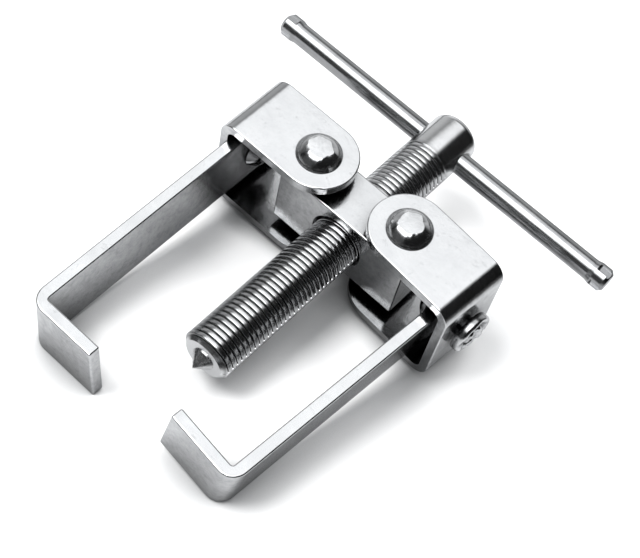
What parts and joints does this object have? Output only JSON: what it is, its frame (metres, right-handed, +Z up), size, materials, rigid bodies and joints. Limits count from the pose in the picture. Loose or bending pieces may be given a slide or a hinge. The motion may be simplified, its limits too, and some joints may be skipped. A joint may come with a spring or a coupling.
{
  "type": "two-jaw gear puller",
  "caption": "Gear puller with a threaded forcing screw and sliding tommy bar through a crosspiece, and hooked flat jaws riveted in folded brackets that swing.",
  "frame": {"origin": "centre of the footprint on the plane the tool lies on", "axes": "+Z up; the forcing screw runs along Y, its point towards -Y and its tommy bar towards +Y, leaning down about 7 degrees to the point because the tool lies on its lower rivet heads and its hooks; X runs along the crosspiece"},
  "size_m": [0.1102, 0.1166, 0.0376],
  "materials": {
    "zinc_plate": "bright zinc plate",
    "screw_steel": "plated thread, darker in its grooves",
    "bar_steel": "polished bar",
    "rivet_steel": "formed rivet heads",
    "point_steel": "hardened point"
  },
  "bodies": {
    "beam": {"crosspiece": "zinc_plate"},
    "left_arm": {"left_bracket": "zinc_plate", "left_jaw": "zinc_plate", "left_pivot_rivet": "rivet_steel", "left_jaw_rivet": "rivet_steel"},
    "right_arm": {"right_bracket": "zinc_plate", "right_jaw": "zinc_plate", "right_pivot_rivet": "rivet_steel", "right_jaw_rivet": "rivet_steel"},
    "point": {"centre_point": "point_steel"},
    "screw": {"forcing_screw": "screw_steel"},
    "bar": {"tommy_bar": "bar_steel"}
  },
  "joints": [
    {"name": "left_arm_swing", "type": "hinge", "parent": "beam", "child": "left_arm", "pos_m": [-0.0146, 0.01694, 0.0188], "axis": [0, -0.1245, 0.9922], "range_deg": [-30, 5]},
    {"name": "right_arm_swing", "type": "hinge", "parent": "beam", "child": "right_arm", "pos_m": [0.0146, 0.01694, 0.0188], "axis": [0, -0.1245, 0.9922], "range_deg": [-0.8, 34.2]},
    {"name": "screw_feed", "type": "slide", "parent": "beam", "child": "point", "axis": [0, 0.9922, 0.1245], "range_m": [-0.0091, 0.0421]},
    {"name": "screw_turn", "type": "hinge", "parent": "point", "child": "screw", "pos_m": [0, 0.01694, 0.0188], "axis": [0, 0.9922, 0.1245], "range_deg": [-2160, 10080]},
    {"name": "bar_slide", "type": "slide", "parent": "screw", "child": "bar", "axis": [1, 0, 0], "range_m": [-0.0425, 0.0425]}
  ],
  "couplings": [
    {"joint": "screw_feed", "follows": "screw_turn", "m_per_rad": 0.00023873}
  ]
}
